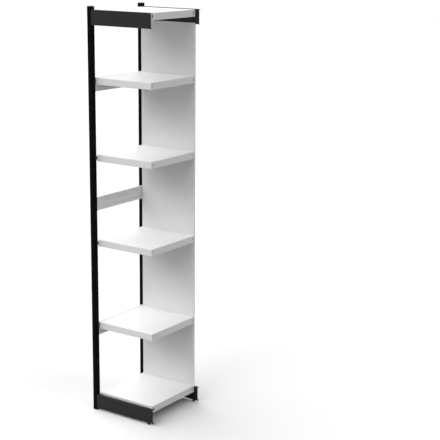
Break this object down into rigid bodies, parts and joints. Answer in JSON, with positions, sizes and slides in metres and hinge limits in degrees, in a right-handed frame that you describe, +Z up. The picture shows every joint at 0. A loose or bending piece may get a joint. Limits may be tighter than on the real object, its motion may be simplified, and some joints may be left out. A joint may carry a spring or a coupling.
{
  "type": "corner shelving unit",
  "caption": "Tall corner shelving unit of folded steel with one slotted side frame, cantilever shelves, open C beams and a folded back panel.",
  "frame": {"origin": "centre of the footprint, on the floor", "axes": "+X from the side frame to the free ends of the beams, +Y from the open front to the back panel, +Z up; the open front faces -Y and the side frame stands at -X"},
  "size_m": [0.358, 0.385, 1.9],
  "materials": {
    "black_metal": "black powder coat",
    "white_metal": "white powder coat",
    "zinc_steel": "zinc plated",
    "black_plastic": "matt moulded"
  },
  "bodies": {
    "root": {"front_post": "black_metal", "rear_post": "black_metal", "post_caps": "black_plastic", "post_feet": "black_plastic", "lower_brace": "white_metal", "middle_brace": "white_metal", "upper_brace": "white_metal", "brace_screws": "zinc_steel", "top_front_beam": "black_metal", "bottom_front_beam": "black_metal", "top_rear_beam": "black_metal", "bottom_rear_beam": "black_metal", "beam_lock_screws": "zinc_steel", "beam_feet": "black_plastic", "shelf_1": "white_metal", "shelf_2": "white_metal", "shelf_3": "white_metal", "shelf_4": "white_metal", "shelf_5": "white_metal", "shelf_6": "white_metal", "shelf_stiffeners": "white_metal", "front_shelf_clips": "black_metal", "rear_shelf_clips": "black_metal", "panel_hooks": "zinc_steel", "back_panel": "white_metal", "panel_angles": "white_metal", "panel_screws": "zinc_steel"}
  },
  "joints": []
}
